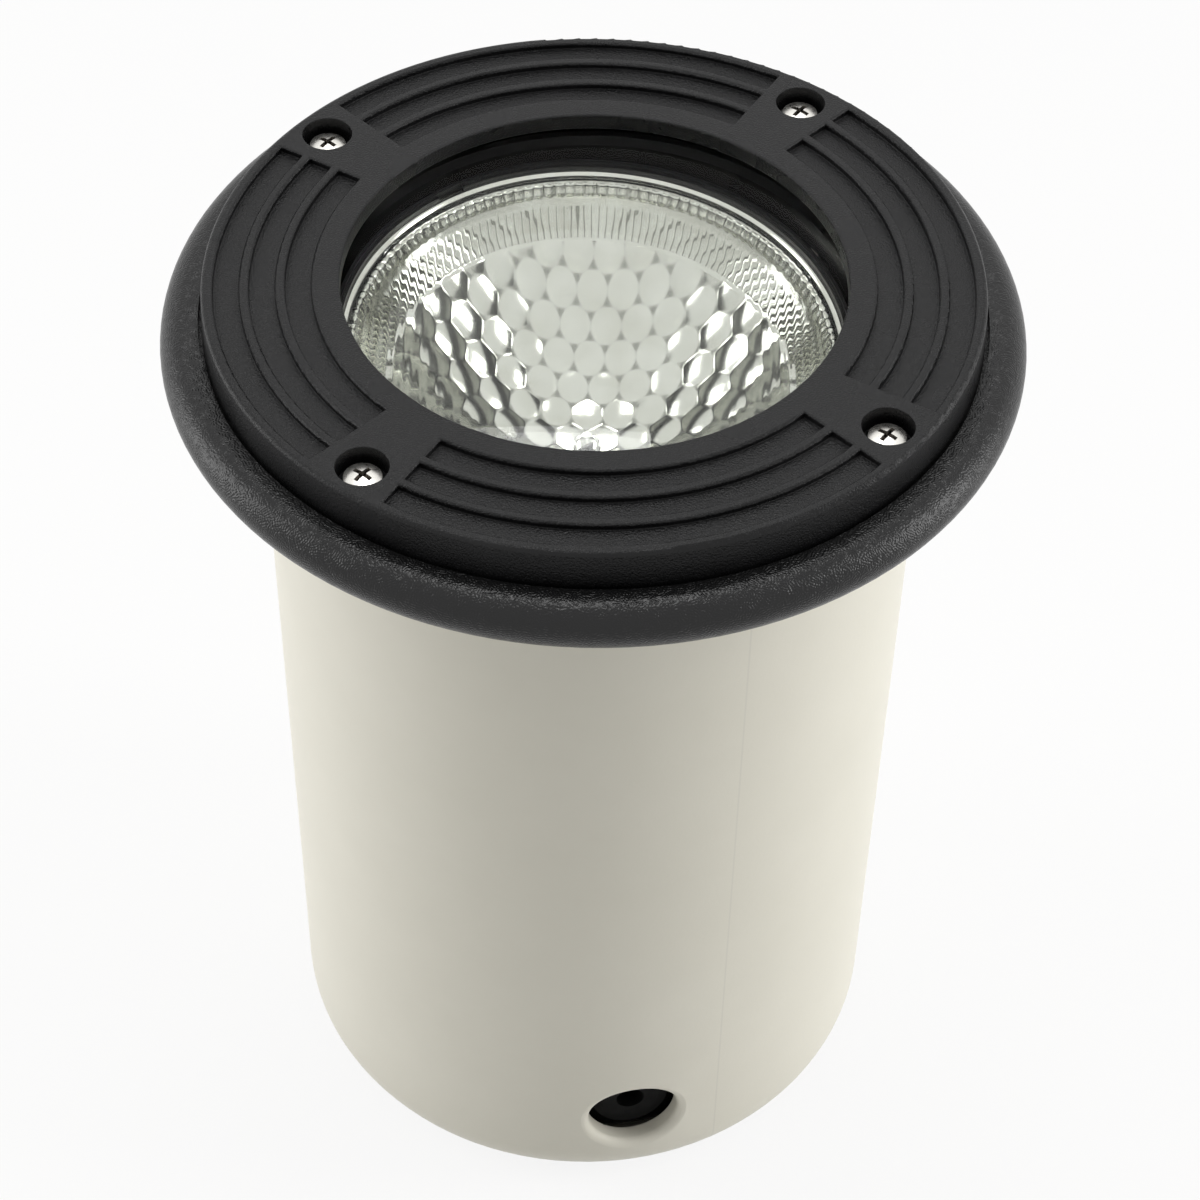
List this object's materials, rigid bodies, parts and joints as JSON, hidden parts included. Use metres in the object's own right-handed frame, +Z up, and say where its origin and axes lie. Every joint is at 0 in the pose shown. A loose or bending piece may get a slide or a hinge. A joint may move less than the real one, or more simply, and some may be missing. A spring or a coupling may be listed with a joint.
{
  "type": "in-ground well light",
  "caption": "In-ground well light: a reflector lamp on a pan-and-tilt yoke in a sealed well, under a screw-down ribbed lid, in a buried sleeve with a cable entry.",
  "frame": {"origin": "centre of the sleeve's base, where the sleeve rests", "axes": "+Z up through the lid; -Y faces the cable entry"},
  "size_m": [0.188, 0.188, 0.24],
  "materials": {
    "sleeve_pvc": "satin off-white moulded",
    "black_polymer": "fine texture",
    "black_metal": "satin black",
    "black_rubber": "matt",
    "stainless": "satin",
    "brass_metal": "plain",
    "cover_glass": "clear",
    "lamp_glass": "pressed relief",
    "mirror_coat": "aluminised",
    "nylon": "natural",
    "porcelain": "glazed ceramic",
    "tungsten": "drawn wire"
  },
  "bodies": {
    "housing": {"ground_sleeve": "sleeve_pvc", "mounting_collar": "black_polymer", "lamp_canister": "black_polymer", "canister_flange": "black_polymer", "inner_bezel": "black_polymer", "bezel_seal": "black_rubber", "bezel_screws": "stainless", "threaded_inserts": "brass_metal", "glide_ring": "nylon", "cable_grommet": "black_rubber"},
    "lid": {"lid_ring": "black_polymer", "cover_glass": "cover_glass", "glass_gasket": "black_rubber", "lid_screws": "stainless", "screw_seals": "black_rubber"},
    "carrier": {"yoke": "black_metal", "pivot_washers": "nylon"},
    "lamp": {"gimbal_ring": "black_metal", "pivot_screws": "stainless", "snap_ring": "black_metal", "lamp_reflector": "mirror_coat", "lamp_lens": "lamp_glass", "halogen_capsule": "lamp_glass", "filament": "tungsten", "filament_posts": "tungsten", "rear_insulator": "porcelain", "terminal_plates": "brass_metal", "terminal_screws": "brass_metal"}
  },
  "joints": [
    {"name": "lid_lift", "type": "slide", "parent": "housing", "child": "lid", "axis": [0, 0, 1], "range_m": [0, 0.04]},
    {"name": "yoke_pan", "type": "hinge", "parent": "housing", "child": "carrier", "pos_m": [0, 0, 0.181], "axis": [0, 0, 1], "range_deg": [-170, 170]},
    {"name": "lamp_tilt", "type": "hinge", "parent": "carrier", "child": "lamp", "pos_m": [0, 0, 0.2155], "axis": [0.8988, 0.4384, 0], "range_deg": [-12.6, 5.4]}
  ]
}
